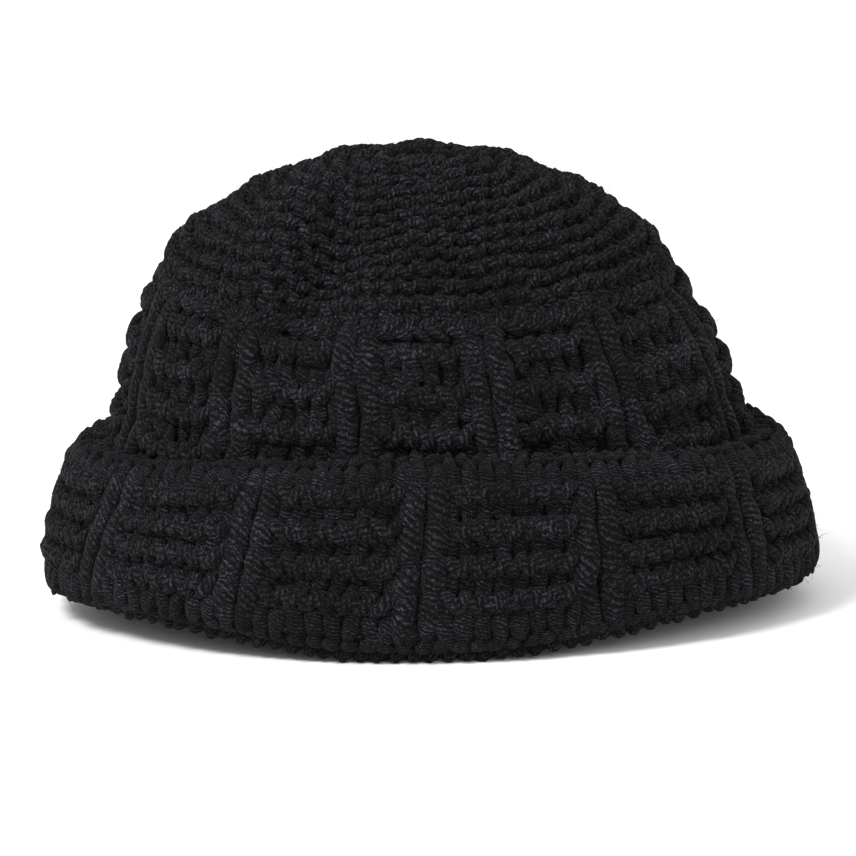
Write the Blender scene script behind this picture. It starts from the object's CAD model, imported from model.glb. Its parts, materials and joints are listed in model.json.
# %% [markdown]
# A thick knitted beanie with a turned-up cuff. It is one tube of fabric, worked round and round
# from a single chunky yarn and drawn shut at the top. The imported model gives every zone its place
# and size. Here each zone gets its yarn: a dark cloth behind, and stitches laid on it one by one.

# %% Load the frame
import json
import math
import bmesh
import bpy
import numpy as np
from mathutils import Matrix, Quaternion, Vector

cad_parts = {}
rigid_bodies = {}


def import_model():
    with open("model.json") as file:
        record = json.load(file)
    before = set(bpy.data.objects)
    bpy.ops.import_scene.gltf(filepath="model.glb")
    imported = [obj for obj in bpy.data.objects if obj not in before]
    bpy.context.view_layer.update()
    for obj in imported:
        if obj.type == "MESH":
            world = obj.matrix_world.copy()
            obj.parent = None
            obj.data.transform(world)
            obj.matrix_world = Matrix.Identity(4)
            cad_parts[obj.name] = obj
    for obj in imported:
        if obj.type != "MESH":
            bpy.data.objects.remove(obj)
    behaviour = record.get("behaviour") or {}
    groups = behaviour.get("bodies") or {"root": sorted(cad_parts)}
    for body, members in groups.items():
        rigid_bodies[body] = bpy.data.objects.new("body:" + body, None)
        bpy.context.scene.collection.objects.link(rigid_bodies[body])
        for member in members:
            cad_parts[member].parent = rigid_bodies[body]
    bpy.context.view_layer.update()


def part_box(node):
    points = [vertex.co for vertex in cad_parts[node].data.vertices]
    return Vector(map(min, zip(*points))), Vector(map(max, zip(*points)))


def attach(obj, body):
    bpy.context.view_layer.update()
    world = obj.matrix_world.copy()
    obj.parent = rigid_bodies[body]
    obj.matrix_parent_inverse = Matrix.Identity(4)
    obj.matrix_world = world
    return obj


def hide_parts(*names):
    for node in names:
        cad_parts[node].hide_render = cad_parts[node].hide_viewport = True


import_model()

# %% [markdown]
# Every zone is a surface that can be asked for a place: how far round the hat (turn, 0 to 1, from
# the middle of the front) and how far up the zone (up, 0 to 1). The oval has the same depth
# everywhere, and the body and crown slant up towards the back. Widths and heights come from the
# frame, and the few sizes that it doesn't hold are named here.

# %% Sizes from the frame
MM = 0.001
REPEATS = 12
CUFF_ROWS = 4
BODY_ROWS = 5
RIDGES = 12
LAYER = 5.0 * MM

_, cuff_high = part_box("cuff_layer")
_, fold_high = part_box("fold_roll")
_, edge_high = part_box("cast_on_edge")
_, wall_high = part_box("body_wall")
_, cap_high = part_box("crown_cap")
oval_depth = cuff_high.y / cuff_high.x
cuff_half = cuff_high.x
cuff_start = fold_high.z
cuff_end = cuff_high.z
edge_half = edge_high.x - LAYER / 2
join_half = wall_high.x
border_half = cap_high.x
slant = 0.125
border_z = 110.0 * MM
join_z = 46.0 * MM
crown_rise = 33.0 * MM
crown_radius = (border_half ** 2 + crown_rise ** 2) / (2 * crown_rise)
crown_angle = math.asin(border_half / crown_radius)
mouth_half = cuff_half - 2 * LAYER - 0.5 * MM
print("oval depth", round(oval_depth, 3), "border half width, mm", round(border_half / MM, 1))

# %% Going evenly round the oval
_fine = np.linspace(0, 2 * math.pi, 3601)
_steps = np.hypot(np.cos(_fine), oval_depth * np.sin(_fine))
_length = np.concatenate([[0], np.cumsum((_steps[1:] + _steps[:-1]) / 2)])
_length /= _length[-1]


def round_oval(turn):
    """A place on an oval of half width 1, evenly spaced by length from the front."""
    angle = np.interp(np.mod(turn, 1.0), _length, _fine)
    return np.sin(angle), -np.cos(angle) * oval_depth


def arc_between(start, middle, end, up):
    """A smooth bow through three profile points, as radius and height."""
    a, b, c = (np.array(p) for p in (start, middle, end))
    up = np.asarray(up)[..., None]
    bow = 2 * b - (a + c) / 2
    return ((1 - up) ** 2) * a + 2 * up * (1 - up) * bow + up ** 2 * c


print("unit oval at the front:", [round(float(v), 3) for v in round_oval(0.0)])

# %% [markdown]
# Soft knit is never a perfect form. The whole hat settles and sways a little, the fold lifts off
# the table at both sides, the cuff's top edge rises at the front and back, and the crown has
# slumped: a soft crest runs down its left front, with a shallow dent beside it. These are smooth
# shifts of the places that the surfaces give, so that every stitch follows them.

# %% Softness
WAVE = 4.0 * MM
SETTLE = 0.95
SIDE_LIFT = 7.0 * MM
LIFT_REACH = (12 * MM, 92 * MM)  # sideways, where the lift starts and where it is full
LIFT_EASES = (94 * MM, 118 * MM)  # sideways, where a third of it goes again
LIFT_FADES = (4 * MM, 46 * MM)  # upwards, where it dies out
LEAN = -3.5 * MM
LEAN_REACH = (60 * MM, 112 * MM)  # upwards, where the leaning starts and where it is full
DENT_DEPTH = 7.5 * MM
CREST_HEIGHT = 4.5 * MM
CREST = ((-43 * MM, 116 * MM), (7 * MM, 18 * MM))  # its middle and its spread, sideways and up
DENT = ((-27 * MM, 112 * MM), (11 * MM, 15 * MM))
CREST_FRONT = (-10 * MM, 25 * MM)  # forwards, where crest and dent start and where they are full
CREST_RUN = 0.55  # how far sideways they run for each step up
CREST_RUN_FROM = 106 * MM
HEART = 50 * MM  # the height of the point that the crest and dent move away from or towards
SPAN = 0.1  # the ripples are counted in radians over this length


def smooth(value, low, high):
    step = np.clip((value - low) / (high - low), 0, 1)
    return step * step * (3 - 2 * step)


def near(x, z, centre, spread):
    """A soft spot, 1 in its middle."""
    return np.exp(-((x - centre[0]) / spread[0]) ** 2 - ((z - centre[1]) / spread[1]) ** 2)


def soften(place):
    """Shift places on the body and crown as worn wool lies."""
    x, y, z = place[..., 0], place[..., 1], place[..., 2]
    out = place.copy()
    front = smooth(-y, *CREST_FRONT)
    high = smooth(z, *LEAN_REACH)
    slope = (z - CREST_RUN_FROM) * CREST_RUN
    crest = near(x - slope, z, *CREST)
    dent = near(x - slope, z, *DENT)
    push = (crest * CREST_HEIGHT - dent * DENT_DEPTH) * front
    length = np.sqrt(x * x + y * y + (z - HEART) ** 2) + 1e-9
    out[..., 0] += LEAN * high + push * x / length
    out[..., 1] += push * y / length
    out[..., 2] += push * (z - HEART) / length
    # three shallow ripples, each under a millimetre, so that no row runs quite true
    ripple = np.sin(31 * x / SPAN + 1.3) * np.sin(23 * z / SPAN + 0.4) * 0.7 * MM
    out[..., 1] += ripple * np.sign(y) * smooth(np.abs(y), 0, 30 * MM)
    out[..., 2] += np.sin(27 * x / SPAN + 0.5) * np.sin(11 * y / SPAN) * 0.9 * MM
    sideways = np.sign(x) * smooth(np.abs(x), 0, 40 * MM)
    out[..., 0] += np.sin(17 * z / SPAN) * 0.5 * MM * sideways
    return out


# %% The surfaces
CUFF_BOW = 2.0 * MM
WALL_BOW = 2.6 * MM
FOLD_RAISE = 1.0 * MM
FOLD_FLATTER = 1.7 * MM  # how much shallower than a full bow the fold is
TOP_DROP = 2.0 * MM  # how far the inner face lies under the outer one at the crown's border


def to_place(turn, radius, height, tilt):
    """A place from its turn, its half width and its height, settled as soft wool is."""
    x, y = round_oval(turn)
    side = np.abs(x * radius)
    lift = smooth(side, *LIFT_REACH) - 0.35 * smooth(side, *LIFT_EASES)
    height = (height + tilt * y * radius) * SETTLE
    height = height + SIDE_LIFT * lift * (1 - smooth(height, *LIFT_FADES))
    return np.stack([x * radius, y * radius, height], axis=-1)


def step_in(place, turn, amount):
    """Places moved in towards the middle of the oval by an amount."""
    x, y = round_oval(turn)
    place[..., 0] -= x * amount
    place[..., 1] -= y * amount
    return place


def cuff_outside(turn, up):
    """The cuff's outer face, from the fold up to its top edge."""
    radius = cuff_half + (edge_half + LAYER / 2 - cuff_half) * up + CUFF_BOW * np.sin(math.pi * up)
    height = cuff_start + (cuff_end - cuff_start) * up
    wave = WAVE * np.cos(4 * math.pi * turn) * up
    return to_place(turn, radius, height + wave, 0.0)


def fold_round(turn, up):
    """Round the bottom fold, from the outside (up 0) under the edge to the inside (up 1)."""
    middle = (mouth_half + cuff_half) / 2
    reach = (cuff_half - mouth_half) / 2
    angle = math.pi * up
    radius = middle + reach * np.cos(angle)
    height = cuff_start + FOLD_RAISE - (cuff_start - FOLD_FLATTER) * np.sin(angle)
    return to_place(turn, radius, height, 0.0)


def body_outside(turn, up):
    """The body's outer face, from behind the cuff up to the crown's border."""
    low, high = (join_half, join_z), (border_half, border_z)
    middle = ((join_half + border_half) / 2 + WALL_BOW, (join_z + border_z) / 2 + WALL_BOW * 0.3)
    profile = arc_between(low, middle, high, up)
    return soften(to_place(turn, profile[..., 0], profile[..., 1], slant))


def crown_outside(turn, up):
    """The crown's outer face, from its border (up 0) to the middle (up 1)."""
    angle = (1 - up) * crown_angle
    radius = crown_radius * np.sin(angle)
    height = border_z + crown_rise - crown_radius + crown_radius * np.cos(angle)
    return soften(to_place(turn, radius, height, slant))


def band_inside(turn, up):
    """The inner face behind the cuff, from the fold up to the body."""
    radius = mouth_half + (join_half - LAYER - mouth_half) * up
    height = cuff_start + (join_z - cuff_start) * up
    return to_place(turn, radius, height, slant * up)


def body_inside(turn, up):
    place = step_in(body_outside(turn, up), turn, LAYER)
    place[..., 2] -= TOP_DROP * np.asarray(up)
    return place


def crown_inside(turn, up):
    place = step_in(crown_outside(turn, up), turn, LAYER * (1 - up))
    place[..., 2] -= TOP_DROP + (LAYER - TOP_DROP) * np.asarray(up)
    return place


def girth(surface, up):
    """Length once round a surface, in metres."""
    ring = surface(np.linspace(0, 1, 361), np.full(361, up))
    return float(np.linalg.norm(np.diff(ring, axis=0), axis=1).sum())


def rise(surface):
    """Length up a surface at the side, in metres."""
    line = surface(np.full(101, 0.25), np.linspace(0, 1, 101))
    return float(np.linalg.norm(np.diff(line, axis=0), axis=1).sum())


for zone in (cuff_outside, body_outside, crown_outside):
    print(zone.__name__, "girth", round(girth(zone, 0.02) / MM),
          "rise", round(rise(zone) / MM), "mm")

# %% [markdown]
# The wool is charcoal black, with a matt, hairy surface. Each ply of the yarn catches the light
# along its top and is dark in the groove beside it, and pale single fibres lie across. One shader
# group makes the colour and the fine relief from the stitch's own attributes, and each material
# gives it its own colours. Sheen stays on the shader, where it belongs.

# %% Node helper


def add(tree, kind, inputs=None, **settings):
    """Add a node, set its properties, and link or set its inputs by name or number."""
    made = tree.nodes.new(kind)
    for name, value in settings.items():
        setattr(made, name, value)
    for key, value in (inputs or {}).items():
        if isinstance(value, bpy.types.NodeSocket):
            tree.links.new(value, made.inputs[key])
        else:
            made.inputs[key].default_value = value
    return made


def calc(tree, operation, *values):
    """The result of a Math node on these values."""
    return add(tree, "ShaderNodeMath", dict(enumerate(values)), operation=operation).outputs[0]


def open_group(name, kind, sockets):
    """A new node tree with named inputs, given as (label, socket type, value)."""
    tree = bpy.data.node_groups.new(name, kind)
    for label, socket_type, value in sockets:
        socket = tree.interface.new_socket(label, in_out="INPUT", socket_type=socket_type)
        if value is not None:
            socket.default_value = value
    return tree


# %% Wool colour and fibre relief
PLIES = 4.0         # plies round the yarn
WINDING = 1.65      # how tightly they wind
FRAY = 6.0          # how far stray fibres blur their edges
OWN_START = 60.0    # shifts the plies of each stitch by its own tone


def make_wool_group():
    group = open_group("wool_fibre", "ShaderNodeTree", [
        ("Shadow Colour", "NodeSocketColor", (0.0012, 0.0012, 0.0014, 1)),
        ("Yarn Colour", "NodeSocketColor", (0.01, 0.01, 0.011, 1)),
        ("Fibre Colour", "NodeSocketColor", (0.05, 0.05, 0.053, 1)),
        ("Fibre Amount", "NodeSocketFloat", 0.8),
    ])
    for label, socket_type in (("Colour", "NodeSocketColor"), ("Relief", "NodeSocketFloat")):
        group.interface.new_socket(label, in_out="OUTPUT", socket_type=socket_type)
    given = add(group, "NodeGroupInput")
    place = add(group, "ShaderNodeTexCoord").outputs["Object"]
    read = {name: add(group, "ShaderNodeAttribute", attribute_name=name)
            for name in ("stitch_tone", "yarn_along", "yarn_around")}
    tone = read["stitch_tone"].outputs["Fac"]
    along = read["yarn_along"].outputs["Fac"]
    section = add(group, "ShaderNodeSeparateXYZ", {0: read["yarn_around"].outputs["Vector"]})
    around = calc(group, "ARCTAN2", section.outputs["Y"], section.outputs["X"])
    fray = add(group, "ShaderNodeTexNoise",
               {"Vector": place, "Scale": 820.0, "Detail": 2.0}).outputs[0]
    own = calc(group, "MULTIPLY_ADD", tone, OWN_START, fray)
    frayed = calc(group, "MULTIPLY_ADD", fray, FRAY, own)
    wound = calc(group, "MULTIPLY_ADD", around, PLIES, frayed)
    phase = calc(group, "MULTIPLY_ADD", along, 2 * math.pi * WINDING, wound)
    wave = calc(group, "SINE", phase)
    crest = add(group, "ShaderNodeMapRange", {0: wave, "From Min": -0.9, "From Max": 0.8})
    strand = add(group, "ShaderNodeCombineXYZ", {"X": along, "Y": around, "Z": own})
    strand = add(group, "ShaderNodeMapping", {0: strand.outputs[0], "Scale": (4.6, 2.0, 1.0)})
    streak = add(group, "ShaderNodeTexNoise", {
        "Vector": strand.outputs[0], "Scale": 1.0, "Detail": 2.0, "Roughness": 0.6})
    fibre = add(group, "ShaderNodeTexNoise", {
        "Vector": place, "Scale": 1900.0, "Detail": 2.0, "Roughness": 0.6, "Distortion": 1.0})
    broad = add(group, "ShaderNodeTexNoise", {"Vector": place, "Scale": 45.0, "Detail": 2.0})
    both = add(group, "ShaderNodeMix", {0: 0.55, 2: streak.outputs[0], 3: fibre.outputs[0]})
    pale = add(group, "ShaderNodeMapRange", {0: both.outputs[0], "From Min": 0.48,
                                             "From Max": 0.60})
    pale = calc(group, "MULTIPLY", pale.outputs[0], crest.outputs[0])
    pale = calc(group, "MULTIPLY", pale, given.outputs["Fibre Amount"])
    ply = add(group, "ShaderNodeMix", {
        0: crest.outputs[0], 6: given.outputs["Shadow Colour"], 7: given.outputs["Yarn Colour"]},
        data_type="RGBA")
    haired = add(group, "ShaderNodeMix", {
        0: pale, 6: ply.outputs[2], 7: given.outputs["Fibre Colour"]},
        data_type="RGBA")
    wear = add(group, "ShaderNodeMapRange", {
        0: broad.outputs[0], "From Min": 0.3, "From Max": 0.7, "To Min": 0.75, "To Max": 1.25})
    mood = add(group, "ShaderNodeMapRange", {0: tone, "To Min": 0.65, "To Max": 1.35})
    level = calc(group, "MULTIPLY", wear.outputs[0], mood.outputs[0])
    colour = add(group, "ShaderNodeVectorMath", {0: haired.outputs[2], "Scale": level},
                 operation="SCALE")
    relief = calc(group, "ADD", crest.outputs[0], both.outputs[0])
    add(group, "NodeGroupOutput", {"Colour": colour.outputs[0], "Relief": relief})
    return group


wool_group = make_wool_group()


def make_wool(name, yarn, fibre, sheen=0.02):
    """One wool finish. The colours go to the group, and the sheen is set on the shader."""
    material = bpy.data.materials.new(name)
    material.use_nodes = True
    tree = material.node_tree
    shader = tree.nodes["Principled BSDF"]
    wool = add(tree, "ShaderNodeGroup", node_tree=wool_group)
    wool.inputs["Yarn Colour"].default_value = (*yarn, 1)
    wool.inputs["Fibre Colour"].default_value = (*fibre, 1)
    bump = add(tree, "ShaderNodeBump", {
        "Strength": 0.7, "Distance": 0.5 * MM, "Height": wool.outputs["Relief"]})
    tree.links.new(wool.outputs["Colour"], shader.inputs["Base Color"])
    tree.links.new(bump.outputs[0], shader.inputs["Normal"])
    shader.inputs["Roughness"].default_value = 0.92
    shader.inputs["Specular IOR Level"].default_value = 0.1
    shader.inputs["Sheen Weight"].default_value = sheen
    shader.inputs["Sheen Roughness"].default_value = 0.45
    shader.inputs["Sheen Tint"].default_value = (0.5, 0.5, 0.53, 1)
    return material


yarn_wool = make_wool("charcoal_yarn", (0.0028, 0.0028, 0.0036), (0.040, 0.040, 0.048))
cloth_wool = make_wool("charcoal_cloth", (0.0065, 0.0065, 0.0075), (0.030, 0.030, 0.034), sheen=0.0)
hair_wool = make_wool("charcoal_hairs", (0.030, 0.030, 0.035), (0.085, 0.085, 0.095), sheen=0.0)
print("finishes:", yarn_wool.name, cloth_wool.name, hair_wool.name)

# %% [markdown]
# A stitch is a short, fat piece of yarn that comes out of the fabric, bends over and goes back in.
# Geometry Nodes make it once: a bowed curve swept with a round section that closes at both ends.
# Real plies would need thousands of faces a stitch, so the sweep only leaves marks, how far along
# the yarn and how far round it, and the wool finish winds its plies by them. A guide mesh of loose
# points says where each stitch lies, which way it runs, which way is out and how large it is.

# %% The stitch tree
END_ROUNDNESS = 0.34  # how soon a stitch reaches its full thickness, 0 at once and 1 slowly
STITCH_INPUTS = [
    ("Guide", "NodeSocketGeometry", None),
    ("Strokes", "NodeSocketFloat", 6.0),
    ("Rings", "NodeSocketInt", 9),
    ("Sides", "NodeSocketInt", 7),
    ("Rise", "NodeSocketFloat", 0.28),
    ("Dip", "NodeSocketFloat", 0.22),
    ("Turn Jitter", "NodeSocketFloat", 0.16),
    ("Size Jitter", "NodeSocketFloat", 0.1),
    ("Seed", "NodeSocketInt", 1),
    ("Wool", "NodeSocketMaterial", None),
]


def sweep_stitch(tree, given):
    """One stitch, 1 long and 1 thick, along X, with the marks that the wool reads."""
    dip = calc(tree, "MULTIPLY", given.outputs["Dip"], -1.0)
    start = add(tree, "ShaderNodeCombineXYZ", {"X": -0.5, "Z": dip})
    middle = add(tree, "ShaderNodeCombineXYZ", {"Z": given.outputs["Rise"]})
    end = add(tree, "ShaderNodeCombineXYZ", {"X": 0.5, "Z": dip})
    path = add(tree, "GeometryNodeCurveQuadraticBezier", {
        "Resolution": given.outputs["Rings"], "Start": start.outputs[0],
        "Middle": middle.outputs[0], "End": end.outputs[0]})
    along = add(tree, "GeometryNodeSplineParameter").outputs["Factor"]
    half_turn = calc(tree, "MULTIPLY", along, math.pi)
    hump = calc(tree, "MAXIMUM", calc(tree, "SINE", half_turn), 0.0)
    swell = calc(tree, "POWER", hump, END_ROUNDNESS)
    strokes = calc(tree, "MULTIPLY", along, given.outputs["Strokes"])
    path = add(tree, "GeometryNodeStoreNamedAttribute", {
        0: path.outputs[0], "Name": "yarn_along", "Value": strokes})
    section = add(tree, "GeometryNodeCurvePrimitiveCircle", {
        "Resolution": given.outputs["Sides"], "Radius": 0.5})
    section = add(tree, "GeometryNodeStoreNamedAttribute", {
        0: section.outputs[0], "Name": "yarn_around",
        "Value": add(tree, "GeometryNodeInputPosition").outputs[0]}, data_type="FLOAT_VECTOR")
    swept = add(tree, "GeometryNodeCurveToMesh", {
        "Curve": path.outputs[0], "Profile Curve": section.outputs[0], "Scale": swell})
    return add(tree, "GeometryNodeMergeByDistance", {0: swept.outputs[0], "Distance": 0.002})


def random_between(tree, low, high, seed, kind, shift):
    """A random number or vector per stitch."""
    least, most, result = {"FLOAT_VECTOR": (0, 1, 0), "FLOAT": (2, 3, 1)}[kind]
    mixed = calc(tree, "ADD", seed, float(shift))
    made = add(tree, "FunctionNodeRandomValue", {least: low, most: high, "Seed": mixed},
               data_type=kind)
    return made.outputs[result]


def make_stitch_tree():
    tree = open_group("yarn_stitches", "GeometryNodeTree", STITCH_INPUTS)
    tree.interface.new_socket("Stitches", in_out="OUTPUT", socket_type="NodeSocketGeometry")
    given = add(tree, "NodeGroupInput")
    seed = given.outputs["Seed"]
    stitch = sweep_stitch(tree, given)
    read = {name: add(tree, "GeometryNodeInputNamedAttribute", {"Name": name},
                      data_type="FLOAT_VECTOR").outputs[0] for name in ("lie", "out", "size")}
    along = add(tree, "FunctionNodeAlignRotationToVector", {"Vector": read["lie"]}, axis="X")
    outward = add(tree, "FunctionNodeAlignRotationToVector", {
        "Rotation": along.outputs[0], "Vector": read["out"]}, axis="Z", pivot_axis="X")
    wobble = random_between(tree, (-1, -1, -1), (1, 1, 1), seed, "FLOAT_VECTOR", 1)
    wobble = add(tree, "ShaderNodeVectorMath", {0: wobble, "Scale": given.outputs["Turn Jitter"]},
                 operation="SCALE")
    wobble = add(tree, "FunctionNodeEulerToRotation", {0: wobble.outputs[0]})
    turned = add(tree, "FunctionNodeRotateRotation", {
        0: outward.outputs[0], 1: wobble.outputs[0]}, rotation_space="LOCAL")
    growth = random_between(tree, (-1, -1, -1), (1, 1, 1), seed, "FLOAT_VECTOR", 2)
    growth = add(tree, "ShaderNodeVectorMath", {
        0: growth, "Scale": given.outputs["Size Jitter"]}, operation="SCALE")
    growth = add(tree, "ShaderNodeVectorMath", {0: growth.outputs[0], 1: (1, 1, 1)},
                 operation="ADD")
    scale = add(tree, "ShaderNodeVectorMath", {0: read["size"], 1: growth.outputs[0]},
                operation="MULTIPLY")
    placed = add(tree, "GeometryNodeInstanceOnPoints", {
        "Points": given.outputs["Guide"], "Instance": stitch.outputs[0],
        "Rotation": turned.outputs[0], "Scale": scale.outputs[0]})
    toned = add(tree, "GeometryNodeStoreNamedAttribute", {
        0: placed.outputs[0], "Name": "stitch_tone",
        "Value": random_between(tree, 0.0, 1.0, seed, "FLOAT", 4)}, domain="INSTANCE")
    real = add(tree, "GeometryNodeRealizeInstances", {0: toned.outputs[0]})
    soft = add(tree, "GeometryNodeSetShadeSmooth", {0: real.outputs[0]})
    dyed = add(tree, "GeometryNodeSetMaterial", {0: soft.outputs[0],
                                                 "Material": given.outputs["Wool"]})
    add(tree, "NodeGroupOutput", {0: dyed.outputs[0]})
    return tree


stitch_tree = make_stitch_tree()
print("stitch tree nodes:", len(stitch_tree.nodes))

# %% [markdown]
# A pattern is a list of stitches, each with its turn and height on a surface. Two small functions
# turn that list into a knitted piece: the first finds the true place and the directions round, up
# and out of the surface there, and the second hands them to the stitch tree and keeps the mesh.

# %% From pattern to piece
SMALL = 1e-4


def directions(surface, turn, up):
    """Place and unit vectors round, up and out of a surface."""
    place = surface(turn, up)
    across = surface(turn + SMALL, up) - surface(turn - SMALL, up)
    upward = surface(turn, up + SMALL) - surface(turn, up - SMALL)
    out = np.cross(across, upward)
    unit = [v / (np.linalg.norm(v, axis=-1, keepdims=True) + 1e-12) for v in (across, upward, out)]
    return place, *unit


def lay_stitches(surface, rows, flip=1.0):
    """Guide arrays for rows of (turn, up, lean in degrees, length, width, thickness, lift)."""
    data = np.array(rows, dtype=float)
    place, across, upward, out = directions(surface, data[:, 0], data[:, 1])
    lean = np.radians(data[:, 2])[:, None]
    lie = across * np.cos(lean) + upward * np.sin(lean)
    out = out * flip
    return place + out * data[:, 6:7], lie, out, data[:, 3:6]


def run_tree(piece, tree, options):
    """Apply a Geometry Nodes tree with these inputs and leave a plain mesh."""
    modifier = piece.modifiers.new(tree.name, "NODES")
    modifier.node_group = tree
    names = {item.name: item.identifier for item in tree.interface.items_tree
             if item.item_type == "SOCKET" and item.in_out == "INPUT"}
    for label, value in options.items():
        modifier[names[label.replace("_", " ")]] = value
    piece.update_tag()
    graph = bpy.context.evaluated_depsgraph_get()
    done = bpy.data.meshes.new_from_object(
        piece.evaluated_get(graph), preserve_all_data_layers=True, depsgraph=graph)
    piece.modifiers.remove(modifier)
    piece.data = done
    done.name = piece.name


def knit_piece(name, guides, wool=None, **options):
    """Run the stitch tree over the guides and return a plain mesh object."""
    place, lie, out, size = (np.concatenate(part) for part in zip(*guides))
    mesh = bpy.data.meshes.new(name)
    mesh.from_pydata(place.tolist(), [], [])
    for label, values in (("lie", lie), ("out", out), ("size", size)):
        layer = mesh.attributes.new(label, "FLOAT_VECTOR", "POINT")
        layer.data.foreach_set("vector", values.astype(np.float32).ravel())
    piece = bpy.data.objects.new(name, mesh)
    bpy.context.scene.collection.objects.link(piece)
    run_tree(piece, stitch_tree, {"Wool": wool or yarn_wool, **options})
    return piece


def triangles(piece):
    return sum(len(face.vertices) - 2 for face in piece.data.polygons)


total_triangles = 0


def place_on_hat(piece, slot, *nodes):
    """Ride on the hat, take a finish slot, and stand for CAD nodes."""
    global total_triangles
    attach(piece, "root")
    if nodes:
        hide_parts(*nodes)
    count = triangles(piece)
    total_triangles += count
    return count


# %% [markdown]
# Behind the stitches lies the cloth itself: closed layers of fabric, dark because little light gets
# between the stitches. Each is a grid wrapped round the hat, an outer face and an inner face joined
# at their rims, a little under the stitches.

# %% Cloth layers
SINK = 0.3 * MM
AROUND = 192  # points round a cloth
UPWARD = 12   # steps up it


def ring_of(surface, up, sink):
    """One loop of points round a surface, moved inwards by sink."""
    turns = np.arange(AROUND) / AROUND
    place, _, _, out = directions(surface, turns, np.full(AROUND, up))
    return place - out * sink


def wrap_cloth(name, outer, inner, closed_top=False):
    """A closed layer between two surfaces, sunk under the stitches on both of its sides."""
    ups = np.linspace(0.002, 0.97 if closed_top else 0.998, UPWARD + 1)
    loops = [ring_of(outer, up, SINK) for up in ups]
    loops += [ring_of(inner, up, -SINK) for up in ups[::-1]]
    points = [tuple(point) for loop in loops for point in loop.tolist()]
    faces = []
    for ring in range(len(loops)):
        after = (ring + 1) % len(loops)
        if closed_top and ring == UPWARD:
            continue
        for i in range(AROUND):
            j = (i + 1) % AROUND
            faces.append((ring * AROUND + i, ring * AROUND + j,
                          after * AROUND + j, after * AROUND + i))
    if closed_top:
        for ring in (UPWARD, UPWARD + 1):
            points.append(tuple(loops[ring].mean(axis=0)))
            faces += [(ring * AROUND + i, ring * AROUND + (i + 1) % AROUND, len(points) - 1)
                      for i in range(AROUND)]
    return closed_piece(name, points, faces, cloth_wool)


def closed_piece(name, points, faces, material):
    """A smooth closed mesh with its faces turned outwards."""
    mesh = bpy.data.meshes.new(name)
    mesh.from_pydata(points, [], faces)
    shell = bmesh.new()
    shell.from_mesh(mesh)
    bmesh.ops.recalc_face_normals(shell, faces=shell.faces)
    shell.to_mesh(mesh)
    shell.free()
    mesh.polygons.foreach_set("use_smooth", [True] * len(mesh.polygons))
    mesh.materials.append(material)
    piece = bpy.data.objects.new(name, mesh)
    bpy.context.scene.collection.objects.link(piece)
    return piece


def cuff_inside(turn, up):
    return step_in(cuff_outside(turn, up), turn, LAYER)


def band_outside(turn, up):
    return step_in(band_inside(turn, up), turn, -LAYER)


cloths = [
    (wrap_cloth("cuff_cloth", cuff_outside, cuff_inside), "cuff_layer"),
    (wrap_cloth("inner_band_cloth", band_outside, band_inside), "inner_band"),
    (wrap_cloth("body_cloth", body_outside, body_inside), "body_wall"),
    (wrap_cloth("crown_cloth", crown_outside, crown_inside, closed_top=True), "crown_cap"),
]
for cloth, node in cloths:
    print(cloth.name, place_on_hat(cloth, "wool_knit", node), "triangles")


# %% [markdown]
# The cuff's pattern repeats twelve times round. Each repeat is a pair of fat upright ribs with a
# dark groove between them, then a ladder: rows of small bumps, with the ground of upright stitches
# sunk between them. A bump row is one line of short bowed stitches that lean to and fro. The cuff
# is worked a little askew, so its left ribs lean, and low down it is plain upright stitches.

# %% The cuff's ribs
RIB_SPACING = 7.8 * MM
HALF_PAIR = 8.6 * MM
BUMP = 5.3 * MM
CUFF_RIB_STITCH = (13.8 * MM, 7.7 * MM, 5.0 * MM, 0.4 * MM)  # length, width, thickness, lift


def skewed(turn, up):
    """The sideways drift of the cuff's pattern, which grows towards the fold."""
    return turn + (1 - up) * skew(turn)


def skew(turn):
    return -0.008 + 0.007 * math.sin(2 * math.pi * turn)


def height_share(node, start, end):
    """How far up a zone the middle of a CAD node lies."""
    low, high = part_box(node)
    return ((low.z + high.z) / 2 - start) / (end - start)


cuff_girth = girth(cuff_outside, 0.5)
cuff_rise = rise(cuff_outside)
rib_low, rib_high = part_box("cuff_rib_pair_01")
rib_bottom = (rib_low.z - cuff_start) / (cuff_end - cuff_start)
rib_top = (rib_high.z - cuff_start) / (cuff_end - cuff_start)


def rib_lean(turn):
    """The lean of the cuff's ribs in degrees, 90 for upright."""
    return 90 + math.degrees(math.atan(skew(turn) * cuff_girth / cuff_rise))


def cuff_rib_rows(centre):
    """One rib pair: fat upright stitches, each reaching a little over the next."""
    made = []
    step = (rib_top - rib_bottom) / CUFF_ROWS
    for side in (-1, 1):
        for row in range(CUFF_ROWS):
            up = rib_bottom + (row + 0.5) * step
            turn = skewed(centre + side * RIB_SPACING / 2 / cuff_girth, up)
            lean = rib_lean(centre) + side * (7 if row % 2 else 1)
            made.append((turn, up, lean, *CUFF_RIB_STITCH))
    return made


FAT = {"Strokes": 11.5, "Rings": 12, "Sides": 9, "Rise": 0.55, "Dip": 0.3}
for number in range(REPEATS):
    piece = knit_piece(f"cuff_rib_yarn_{number + 1:02d}",
                       [lay_stitches(cuff_outside, cuff_rib_rows(number / REPEATS))],
                       Seed=number + 10, **FAT)
    place_on_hat(piece, "wool_raised_stitches", f"cuff_rib_pair_{number + 1:02d}")
print("cuff ribs, triangles so far", total_triangles)

# %% The cuff's ladder
BUMP_STITCH = (7.4 * MM, 4.6 * MM, 4.8 * MM, 1.6 * MM)
BUMP_LEAN = 42


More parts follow.
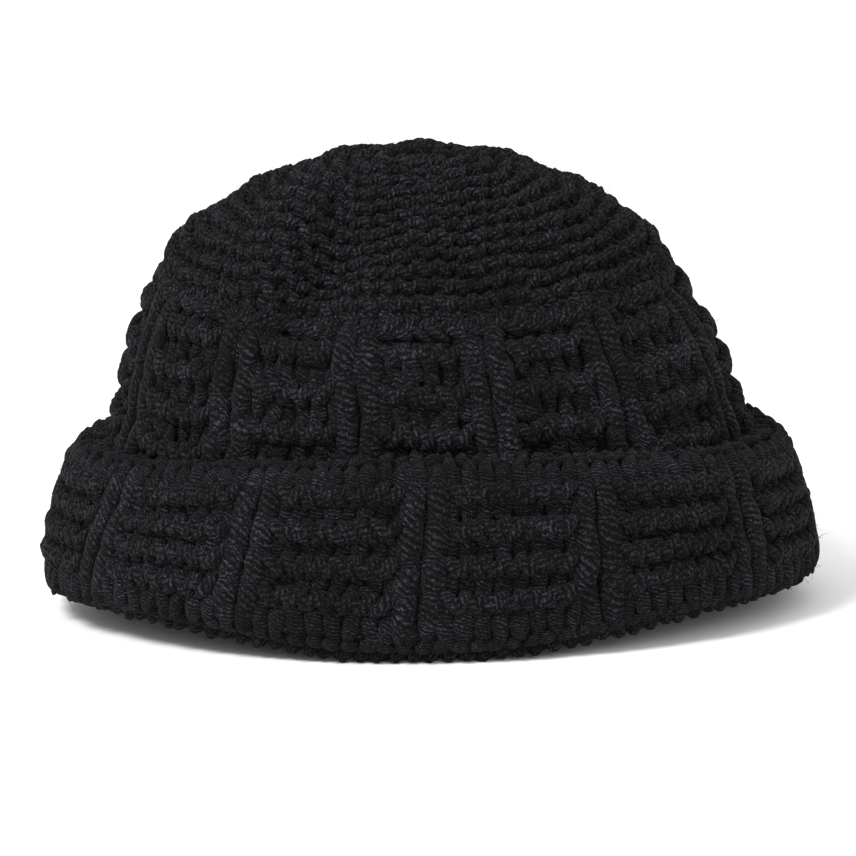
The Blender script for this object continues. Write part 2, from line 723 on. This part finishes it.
def bump_rows(centre, surface_girth, up, slip=None):
    """One band of a ladder panel: short bowed stitches that lean to and fro."""
    made = []
    room = surface_girth / REPEATS - 2 * HALF_PAIR
    count = 2 * max(2, round(room / BUMP))
    for index in range(count):
        turn = centre + (HALF_PAIR + room * (index + 0.5) / count) / surface_girth
        turn = slip(turn, up) if slip else turn
        lean = BUMP_LEAN if index % 2 else -BUMP_LEAN
        made.append((turn, up, lean, *BUMP_STITCH))
    return made


SMALL_BOW = {"Strokes": 6.2, "Rings": 9, "Rise": 0.55, "Dip": 0.35,
             "Turn_Jitter": 0.22}
for row in range(1, CUFF_ROWS + 1):
    up = height_share(f"cuff_rung_row_{row}", cuff_start, cuff_end)
    made = []
    for number in range(REPEATS):
        made += bump_rows(number / REPEATS, cuff_girth, up, skewed)
    piece = knit_piece(f"cuff_ladder_yarn_{row}", [lay_stitches(cuff_outside, made)],
                       Seed=row + 30, **SMALL_BOW)
    place_on_hat(piece, "wool_raised_stitches", f"cuff_rung_row_{row}")
print("cuff ladder, triangles so far", total_triangles)

# %% The cuff's ground of upright stitches
UPRIGHT_LEANS = (84, 96)
UPRIGHT_SECTION = (6.3 * MM, 4.4 * MM)  # width, thickness


def upright_rows(surface_girth, low, high, rows, length, lift, slip=None):
    """Plain upright stitches all round, row above row, in leaning pairs."""
    made = []
    count = REPEATS * round(surface_girth / REPEATS / BUMP)
    for row in range(rows):
        up = low + (high - low) * (row + 0.5) / rows
        for index in range(count):
            turn = (index + 0.5) / count
            turn = slip(turn, up) if slip else turn
            made.append((turn, up, UPRIGHT_LEANS[index % 2], length, *UPRIGHT_SECTION, lift))
    return made


UPRIGHT = {"Strokes": 10.5, "Rings": 11, "Rise": 0.3, "Dip": 0.2,
           "Turn_Jitter": 0.2, "Size_Jitter": 0.14}
ground = upright_rows(cuff_girth, rib_bottom, rib_top, CUFF_ROWS, 12.6 * MM, -0.7 * MM, skewed)
ground += upright_rows(cuff_girth, rib_top - 0.06, 1.02, 1, 8.6 * MM, 0.3 * MM, skewed)
plain = upright_rows(cuff_girth, 0.06, rib_bottom + 0.07, 1, 10.4 * MM, 0.5 * MM, skewed)
piece = knit_piece("cuff_ground_yarn", [lay_stitches(cuff_outside, ground + plain)],
                   Seed=40, **UPRIGHT)
print("cuff ground", place_on_hat(piece, "wool_knit"), "triangles")

# %% [markdown]
# At the mouth the same stitches roll under the fold and up inside. The top of the cuff ends in the
# cast-on edge, where the yarn wraps over the rim again and again, like a soft rope. On such a
# narrow edge a stitch has to bow far more than on the flat, or its ends would stand out as spikes.

# %% The fold and the cast-on edge
EDGE_REACH = 3.1 * MM
EDGE_RISE = 3.4 * MM
EDGE_PITCH = 4.6 * MM
EDGE_STITCH = (7.4 * MM, 4.3 * MM, 3.4 * MM, -1.3 * MM)
FOLD_STITCH = (9.2 * MM, 6.6 * MM, 3.8 * MM, -1.6 * MM)


def edge_round(turn, up):
    """Over the cuff's top edge, from its outer face (up 0) to its inner face (up 1)."""
    angle = math.pi * up
    middle = edge_half - LAYER / 2 + 0.3 * MM
    wave = WAVE * np.cos(4 * math.pi * turn)
    radius = middle + EDGE_REACH * np.cos(angle)
    height = cuff_end - 1.2 * MM + EDGE_RISE * np.sin(angle) + wave
    return to_place(turn, radius, height, 0.0)


def wrapped_rows(surface_girth, pitch, levels, lean, stitch):
    """Stitches that wrap across an edge, side by side all round."""
    count = round(surface_girth / pitch)
    return [((index + 0.5 * (layer % 2)) / count, up, lean + 5 * (index % 3 - 1), *stitch)
            for layer, up in enumerate(levels) for index in range(count)]


DEEP_BOW = {"Strokes": 8.0, "Rings": 11, "Sides": 10, "Rise": 0.75, "Dip": 0.95}
fold_rows = wrapped_rows(girth(fold_round, 0.5), BUMP, (0.15, 0.5, 0.85), 84, FOLD_STITCH)
piece = knit_piece("fold_yarn", [lay_stitches(fold_round, fold_rows, flip=-1.0)], Seed=50,
                   Turn_Jitter=0.08, Size_Jitter=0.05, **DEEP_BOW)
print("fold", place_on_hat(piece, "wool_knit", "fold_roll"), "triangles")

edge_rows = wrapped_rows(girth(edge_round, 0.5), EDGE_PITCH, (0.28, 0.76), 64, EDGE_STITCH)
piece = knit_piece("cast_on_yarn", [lay_stitches(edge_round, edge_rows)], Seed=51, **DEEP_BOW)
print("cast-on edge", place_on_hat(piece, "wool_yarn_edges", "cast_on_edge"), "triangles")

# %% [markdown]
# The body has the same rib pairs and ladder, half a repeat round from the cuff's. It narrows
# towards the crown, so the ladder loses stitches on the way up while the ribs keep their width.

# %% The body
BODY_RIB_STITCH = (16.2 * MM, 7.4 * MM, 4.9 * MM, 0.4 * MM)
BORDER_ROOM = 3.6 * MM  # left free for the crown's border chain
body_top = (border_z - BORDER_ROOM - join_z) / (border_z - join_z)
body_rows_girth = [girth(body_outside, up) for up in np.linspace(0, 1, 21)]


def body_girth(up):
    return float(np.interp(up, np.linspace(0, 1, 21), body_rows_girth))


def body_rib_rows(centre):
    made = []
    for side in (-1, 1):
        for row in range(BODY_ROWS):
            up = body_top * (row + 0.5) / BODY_ROWS
            turn = centre + side * RIB_SPACING * 0.5 / body_girth(up)
            lean = 90 - side * (5 if row % 2 else -1)
            made.append((turn, up, lean, *BODY_RIB_STITCH))
    return made


for number in range(REPEATS):
    centre = (number + 0.5) / REPEATS
    piece = knit_piece(f"body_rib_yarn_{number + 1:02d}",
                       [lay_stitches(body_outside, body_rib_rows(centre))],
                       Seed=number + 60, **{**FAT, "Strokes": 13.5})
    place_on_hat(piece, "wool_raised_stitches", f"body_rib_pair_{number + 1:02d}")

for row in range(1, BODY_ROWS + 1):
    up = body_top * (BODY_ROWS - row + 0.5) / BODY_ROWS
    made = []
    for number in range(REPEATS):
        made += bump_rows((number + 0.5) / REPEATS, body_girth(up), up)
    piece = knit_piece(f"body_ladder_yarn_{row}", [lay_stitches(body_outside, made)],
                       Seed=row + 80, **SMALL_BOW)
    place_on_hat(piece, "wool_raised_stitches", f"body_rung_row_{row}")

ground = []
for row in range(BODY_ROWS):
    low, high = (body_top * share / BODY_ROWS for share in (row, row + 1))
    ground += upright_rows(body_girth((low + high) / 2), low, high, 1, 15.2 * MM, -0.7 * MM)
piece = knit_piece("body_ground_yarn", [lay_stitches(body_outside, ground)], Seed=90, **UPRIGHT)
place_on_hat(piece, "wool_knit")
print("body, triangles so far", total_triangles)

# %% [markdown]
# The crown is worked in rounds that each lose a few stitches. Every second round is purled and
# stands up as a ridge, so the outline is scalloped. A ridge is one yarn going to and fro: its
# stitches lean one way and then the other. A chain of flat stitches edges the crown, and a
# gathering yarn draws the last round shut.

# %% The crown's ridges
RIDGE_PITCH = 5.4 * MM
RIDGE_STITCH = (5.9 * MM, 3.6 * MM, 6.0 * MM, 2.1 * MM)
crown_arc = crown_radius * crown_angle
closing_reach = 6.5 * MM
border_reach = 2.8 * MM


def ridge_share(number):
    """Where ridge number lies on the crown, 0 at the border and 1 in the middle."""
    along = closing_reach + (crown_arc - closing_reach - border_reach) * (number - 0.5) / RIDGES
    return 1 - along / crown_arc


def zigzag_round(surface, up, pitch, lean, stitch):
    """One round of stitches that lean to and fro."""
    count = 2 * max(4, round(girth(surface, up) / pitch))
    return [(index / count, up, lean * (1 - 2 * (index % 2)), *stitch)
            for index in range(count)]


ZIGZAG = {"Strokes": 5.0, "Rings": 9, "Rise": 0.5, "Dip": 0.35,
          "Turn_Jitter": 0.2, "Size_Jitter": 0.14}
for number in range(1, RIDGES + 1):
    rows = zigzag_round(crown_outside, ridge_share(number), RIDGE_PITCH, 38, RIDGE_STITCH)
    piece = knit_piece(f"crown_ridge_yarn_{number:02d}", [lay_stitches(crown_outside, rows)],
                       Seed=number + 100, **ZIGZAG)
    place_on_hat(piece, "wool_raised_stitches", f"crown_ridge_{number:02d}")
print("crown ridges, triangles so far", total_triangles)

# %% The rounds between the ridges
BETWEEN_PITCH = 6.4 * MM
BETWEEN_STITCH = (6.2 * MM, 4.8 * MM, 3.6 * MM, 0.9 * MM)
between = []
for number in range(RIDGES + 1):
    up = min(ridge_share(number + 0.5), 1 - 5 * MM / crown_arc)
    between += zigzag_round(crown_outside, up, BETWEEN_PITCH, 70, BETWEEN_STITCH)
piece = knit_piece("crown_ground_yarn", [lay_stitches(crown_outside, between)], Seed=118,
                   **{**ZIGZAG, "Sides": 5, "Rings": 7})
print("crown ground", place_on_hat(piece, "wool_knit"), "triangles")

# %% The border chain and the gathered middle
CHAIN_PITCH = 5.6  # mm
CHAIN_STITCH = (7.4 * MM, 3.7 * MM, 4.2 * MM, 1.0 * MM)
GATHERS = 9
GATHER_STITCH = (6.0 * MM, 3.0 * MM, 3.6 * MM, 0.6 * MM)
chain = []
chain_count = round(girth(body_outside, 1.0) / CHAIN_PITCH / MM)
for line in (-1, 1):
    chain += [((index + 0.5 * (line > 0)) / chain_count, 0.96 + 0.03 * (line > 0), line * 24,
               *CHAIN_STITCH) for index in range(chain_count)]
piece = knit_piece("crown_border_chain", [lay_stitches(body_outside, chain)], Seed=120,
                   **SMALL_BOW)
place_on_hat(piece, "wool_yarn_edges", "crown_border_round")

gather = [(index / GATHERS, 1 - 3.4 * MM / crown_arc, 90, *GATHER_STITCH)
          for index in range(GATHERS)]
piece = knit_piece("crown_closing_yarn_gather", [lay_stitches(crown_outside, gather)], Seed=121,
                   **SMALL_BOW)
place_on_hat(piece, "wool_yarn_edges", "crown_closing_yarn")
print("crown done, triangles so far", total_triangles)

# %% [markdown]
# Inside, the fabric shows its back: row after row of small purl bumps. They are seen only from
# below, so they are simpler stitches, with fewer sides and rings. The two ends of the yarn are
# woven in, one under the crown and one in the cuff.

# %% The inside
PURL_PITCH = 5.6 * MM
PURL_STITCH = (7.0 * MM, 3.6 * MM, 3.4 * MM, 0.2 * MM)


def purl_rows(surface, low, high, rows):
    """Rows of small bumps that lie along the rows, half a stitch apart."""
    made = []
    for row in range(rows):
        up = low + (high - low) * (row + 0.5) / rows
        count = max(5, round(girth(surface, up) / PURL_PITCH))
        made += [((index + 0.5 * (row % 2)) / count, up, 14 - 28 * (index % 2), *PURL_STITCH)
                 for index in range(count)]
    return made


PURL = {"Strokes": 5.5, "Sides": 5, "Rings": 7, "Rise": 0.5, "Dip": 0.4}
for name, surface, low, high, rows in (("band", band_inside, 0.1, 0.99, 8),
                                       ("body", body_inside, 0.02, 0.99, 14),
                                       ("crown", crown_inside, 0.01, 0.95, 16)):
    piece = knit_piece(f"{name}_inside_purls",
                       [lay_stitches(surface, purl_rows(surface, low, high, rows), flip=-1.0)],
                       Seed=130, **PURL)
    print(piece.name, place_on_hat(piece, "wool_knit"), "triangles")

# %% The two yarn ends
END_STITCH = (5.8 * MM, 2.8 * MM, 2.6 * MM, 0.9 * MM)


def tail_rows(low, high, count):
    """Small stitches in line up the back of the hat, as a woven-in yarn end shows."""
    ups = np.linspace(low, high, count)
    return [(0.5, up, 90, *END_STITCH) for up in ups]


tail_low, tail_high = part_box("closing_yarn_tail")
middle_ups = [1 - y / oval_depth / crown_arc for y in (tail_high.y, tail_low.y)]
piece = knit_piece("closing_yarn_end", [lay_stitches(crown_inside, tail_rows(*middle_ups, 7),
                                                     flip=-1.0)], Seed=140, **PURL)
place_on_hat(piece, "wool_yarn_edges", "closing_yarn_tail")

tail_low, tail_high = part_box("cast_on_tail")
edge_ups = [(z - cuff_start) / (cuff_end - cuff_start) for z in (tail_low.z, tail_high.z)]
piece = knit_piece("cast_on_yarn_end", [lay_stitches(cuff_inside, tail_rows(*edge_ups, 4),
                                                     flip=-1.0)], Seed=141, **PURL)
place_on_hat(piece, "wool_yarn_edges", "cast_on_tail")
print("yarn ends laid")

# %% [markdown]
# Wool is hairy, and that is what makes the outline soft. A second Geometry Nodes tree scatters
# short bowed fibres over the outer stitches, in a long coat and a short one. The fold, the border
# chain and the inside have none. Each fibre is a three-sided thread, thinner than a tenth of a
# millimetre, that lies nearly along the surface and lifts at its end.

# %% Fuzz
HAIR_INPUTS = [
    ("Yarns", "NodeSocketCollection", None),
    ("Density", "NodeSocketFloat", 37000.0),
    ("Shortest", "NodeSocketFloat", 1.5 * MM),
    ("Longest", "NodeSocketFloat", 4.2 * MM),
    ("Thickness", "NodeSocketFloat", 0.020),
    ("Seed", "NodeSocketInt", 1),
    ("Wool", "NodeSocketMaterial", None),
]


def make_hair_tree():
    tree = open_group("wool_fuzz", "GeometryNodeTree", HAIR_INPUTS)
    tree.interface.new_socket("Hairs", in_out="OUTPUT", socket_type="NodeSocketGeometry")
    given = add(tree, "NodeGroupInput")
    seed = given.outputs["Seed"]
    yarns = add(tree, "GeometryNodeCollectionInfo", {0: given.outputs["Yarns"]})
    yarns = add(tree, "GeometryNodeRealizeInstances", {0: yarns.outputs[0]})
    spread = add(tree, "GeometryNodeDistributePointsOnFaces", {
        "Mesh": yarns.outputs[0], "Density": given.outputs["Density"], "Seed": seed})
    bow = add(tree, "GeometryNodeCurveQuadraticBezier", {
        "Resolution": 3, "Start": (0, 0, -0.02), "Middle": (0.45, 0.1, 0.1),
        "End": (0.9, -0.12, 0.42)})
    section = add(tree, "GeometryNodeCurvePrimitiveCircle", {"Resolution": 3, "Radius": 0.5})
    hair = add(tree, "GeometryNodeCurveToMesh", {
        "Curve": bow.outputs[0], "Profile Curve": section.outputs[0],
        "Scale": given.outputs["Thickness"]})
    turn = random_between(tree, (-0.4, -0.5, 0.0), (0.4, 0.3, 2 * math.pi), seed,
                          "FLOAT_VECTOR", 1)
    turn = add(tree, "FunctionNodeEulerToRotation", {0: turn})
    facing = add(tree, "FunctionNodeRotateRotation", {
        0: spread.outputs["Rotation"], 1: turn.outputs[0]}, rotation_space="LOCAL")
    size = add(tree, "FunctionNodeRandomValue", {
        2: given.outputs["Shortest"], 3: given.outputs["Longest"], "Seed": seed})
    placed = add(tree, "GeometryNodeInstanceOnPoints", {
        "Points": spread.outputs["Points"], "Instance": hair.outputs[0],
        "Rotation": facing.outputs[0], "Scale": size.outputs[1]})
    real = add(tree, "GeometryNodeRealizeInstances", {0: placed.outputs[0]})
    dyed = add(tree, "GeometryNodeSetMaterial", {0: real.outputs[0],
                                                 "Material": given.outputs["Wool"]})
    add(tree, "NodeGroupOutput", {0: dyed.outputs[0]})
    return tree


hair_tree = make_hair_tree()
yarn_groups = {"cuff": ("cuff_rib", "cuff_ladder", "cuff_ground", "cast_on"),
               "body": ("body_rib", "body_ladder", "body_ground"),
               "crown": ("crown_",)}
coats = {"fuzz": (1.5 * MM, 4.2 * MM, 7), "down": (0.9 * MM, 2.4 * MM, 8)}
for zone, starts in yarn_groups.items():
    yarns = bpy.data.collections.new(f"{zone}_yarns")
    for piece in list(bpy.context.scene.objects):
        if piece.name.startswith(starts) and "cloth" not in piece.name and "yarn" in piece.name:
            yarns.objects.link(piece)
    for coat, (shortest, longest, seed) in coats.items():
        name = f"{zone}_{coat}"
        hairs = bpy.data.objects.new(name, bpy.data.meshes.new(name))
        bpy.context.scene.collection.objects.link(hairs)
        run_tree(hairs, hair_tree, {"Yarns": yarns, "Wool": hair_wool, "Shortest": shortest,
                                    "Longest": longest, "Seed": seed})
        print(name, place_on_hat(hairs, "wool_knit"), "triangles")
    bpy.data.collections.remove(yarns)

# %% [markdown]
# The four cloth layers are declared as sheets. Each flat size is one girth by the height at the
# side, where the cuff is a tenth lower than its mean. Each area is summed along one line up the
# layer, which is the band's lowest. So the cuff's height and the band's area are too small. The
# crown's size is the box round its oval. A layer's stitches are named as pieces that go with it.


def cloth_area(surface, steps=60):
    """Rough area of a surface, from its girth at many heights and one line up it."""
    ups = (np.arange(steps) + 0.5) / steps
    line = surface(np.full(steps + 1, 0.12), np.linspace(0, 1, steps + 1))
    widths = np.linalg.norm(np.diff(line, axis=0), axis=1)
    return float(sum(girth(surface, up) * width for up, width in zip(ups, widths)))


def stitches_of(*starts):
    return [piece for piece in bpy.context.scene.objects
            if piece.name.startswith(starts) and "cloth" not in piece.name
            and ("yarn" in piece.name or "chain" in piece.name or "purls" in piece.name)
            and not piece.hide_render]


CROWN_OVAL = 0.86  # the flat crown's depth over its width, a guess: the surface measures 0.81
crown_flat = (2 * crown_arc, 2 * crown_arc * CROWN_OVAL)
sheets = {
    "cuff_cloth": (cuff_outside, (girth(cuff_outside, 0.5), rise(cuff_outside)), "folded",
                   ["inner_band_cloth"], stitches_of("cuff_", "cast_on_", "fold_")),
    "inner_band_cloth": (band_inside, (girth(band_inside, 0.3), rise(band_inside)), "stretched",
                         ["fold_yarn"], stitches_of("band_")),
    "body_cloth": (body_outside, (girth(body_outside, 0.0), rise(body_outside)), "stretched",
                   ["inner_band_cloth"], stitches_of("body_")),
    "crown_cloth": (crown_outside, crown_flat, "gathered", ["body_cloth"],
                    stitches_of("crown_", "closing_")),
}
for name, (surface, flat, held, rests_on, going_with) in sheets.items():
    area = min(cloth_area(surface), flat[0] * flat[1])
    print(name, "flat, mm:", [round(side / MM) for side in flat], "area, cm2:", round(area * 1e4))

# %% [markdown]
# A pale floor, soft daylight from all round, one large soft lamp high on the left and a weak one
# on the right. The camera looks down a little at the front of the hat, as at something on a table.

# %% Floor, light and camera
floor_mesh = bpy.data.meshes.new("floor")
floor_mesh.from_pydata([(-6, -6, 0), (6, -6, 0), (6, 6, 0), (-6, 6, 0)], [], [(0, 1, 2, 3)])
floor = bpy.data.objects.new("floor", floor_mesh)
bpy.context.scene.collection.objects.link(floor)
floor_material = bpy.data.materials.new("pale_floor")
floor_material.use_nodes = True
floor_shader = floor_material.node_tree.nodes["Principled BSDF"]
floor_shader.inputs["Base Color"].default_value = (0.92, 0.92, 0.92, 1)
floor_shader.inputs["Roughness"].default_value = 0.9
floor_mesh.materials.append(floor_material)

world = bpy.data.worlds.new("studio")
world.use_nodes = True
world.node_tree.nodes["Background"].inputs["Color"].default_value = (1, 1, 1, 1)
world.node_tree.nodes["Background"].inputs["Strength"].default_value = 1.0
bpy.context.scene.world = world
bpy.context.scene.view_settings.view_transform = "Standard"
LAMPS_AIM = Vector((0, 0, 0.06))


def soft_lamp(name, place, size, power):
    data = bpy.data.lights.new(name, "AREA")
    data.shape = "DISK"
    data.size = size
    data.energy = power
    lamp = bpy.data.objects.new(name, data)
    lamp.location = place
    lamp.rotation_euler = (LAMPS_AIM - Vector(place)).to_track_quat("-Z", "Y").to_euler()
    bpy.context.scene.collection.objects.link(lamp)


soft_lamp("key", (-0.9, -0.9, 1.5), size=0.7, power=34)
soft_lamp("fill", (0.9, -1.4, 0.7), size=1.2, power=5)

LOOK_HEIGHT = 54.3 * MM
CAMERA_RISE = 11.5      # degrees above the table
CAMERA_ROLL = -1.07     # degrees
CAMERA_LENS = 410.7     # a long lens, so that near and far stitches look the same size
camera_data = bpy.data.cameras.new("camera")
camera = bpy.data.objects.new("camera", camera_data)
bpy.context.scene.collection.objects.link(camera)
target = Vector((0.0, 0.0, LOOK_HEIGHT))
elevation = math.radians(CAMERA_RISE)
distance = 3.0
camera.location = target + distance * Vector((0, -math.cos(elevation), math.sin(elevation)))
facing = (target - camera.location).to_track_quat("-Z", "Y")
camera.rotation_euler = (facing @ Quaternion((0, 0, 1), math.radians(CAMERA_ROLL))).to_euler()
camera_data.sensor_width = 36
camera_data.lens = CAMERA_LENS
bpy.context.scene.camera = camera
print("triangles in all:", total_triangles)
